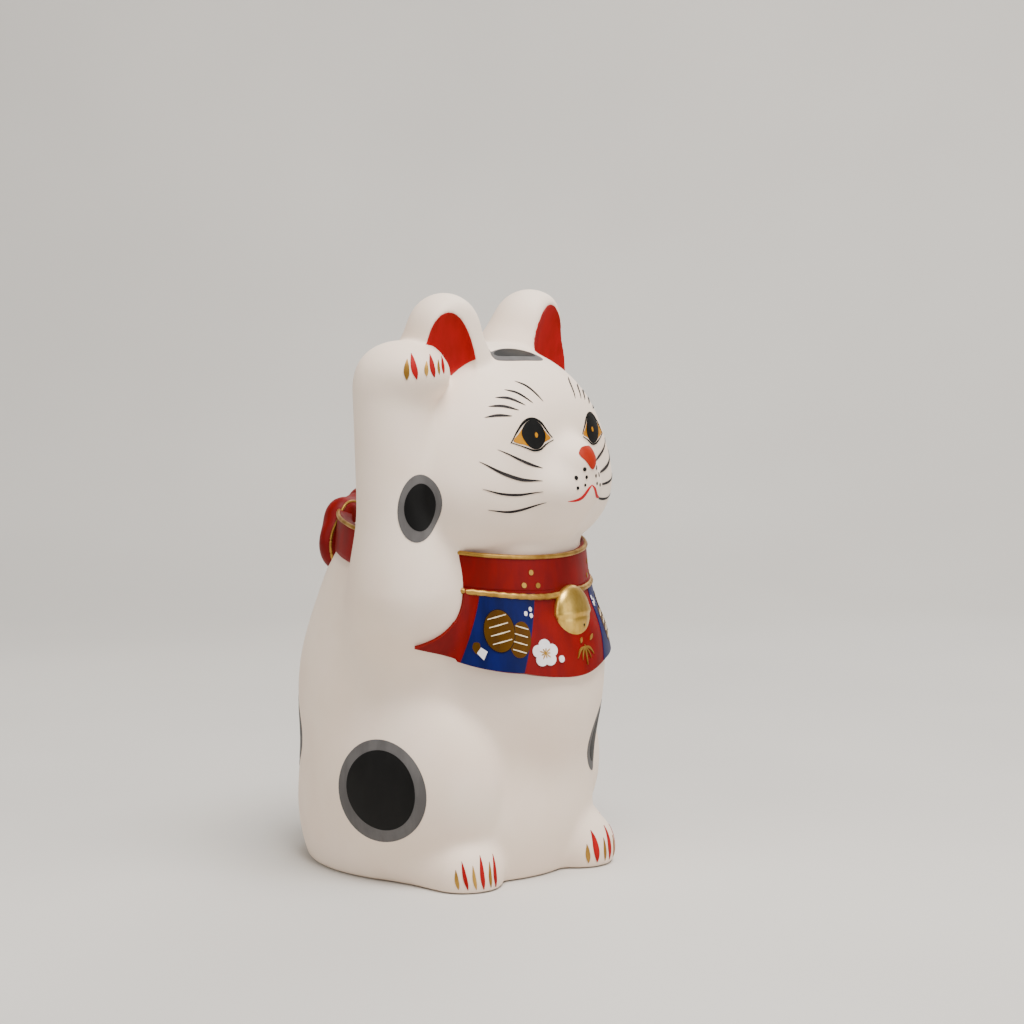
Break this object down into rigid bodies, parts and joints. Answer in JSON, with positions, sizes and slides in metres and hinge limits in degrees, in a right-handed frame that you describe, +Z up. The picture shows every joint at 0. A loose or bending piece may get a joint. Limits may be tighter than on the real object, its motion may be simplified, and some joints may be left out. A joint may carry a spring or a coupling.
{
  "type": "beckoning cat figurine",
  "caption": "Hollow painted clay figurine of a seated cat with one paw raised beside its head, a collar, bib, bell and bow, and a pull-out stopper in the foot.",
  "frame": {"origin": "middle of the standing face, on the surface the figurine stands on", "axes": "+Z up to the ear tips, the cat faces -Y, its raised right paw is towards -X"},
  "size_m": [0.1078, 0.1177, 0.1999],
  "materials": {
    "white_clay": "matt warm white over fired clay",
    "ear_clay": "matt warm white with a red painted hollow",
    "raw_clay": "unpainted fired clay",
    "stopper_rubber": "soft pale rubber",
    "red_paint": "satin deep red paint over fired clay",
    "bib_paint": "red and blue painted panels over fired clay",
    "gold_paint": "metallic gold paint over fired clay"
  },
  "bodies": {
    "figure": {"front_shell": "white_clay", "rear_shell": "white_clay", "base_disc": "raw_clay", "raised_arm": "white_clay", "right_ear": "ear_clay", "left_ear": "ear_clay", "tail": "white_clay", "collar_band": "red_paint", "bib": "bib_paint", "bell_cord": "gold_paint", "bell": "gold_paint", "bow_knot": "red_paint", "bow_right_loop": "red_paint", "bow_left_loop": "red_paint", "bow_right_tail": "red_paint", "bow_left_tail": "red_paint"},
    "stopper": {"base_stopper": "stopper_rubber"}
  },
  "joints": [
    {"name": "stopper_pull", "type": "slide", "parent": "figure", "child": "stopper", "axis": [0, 0, -1], "range_m": [0, 0.03]}
  ]
}
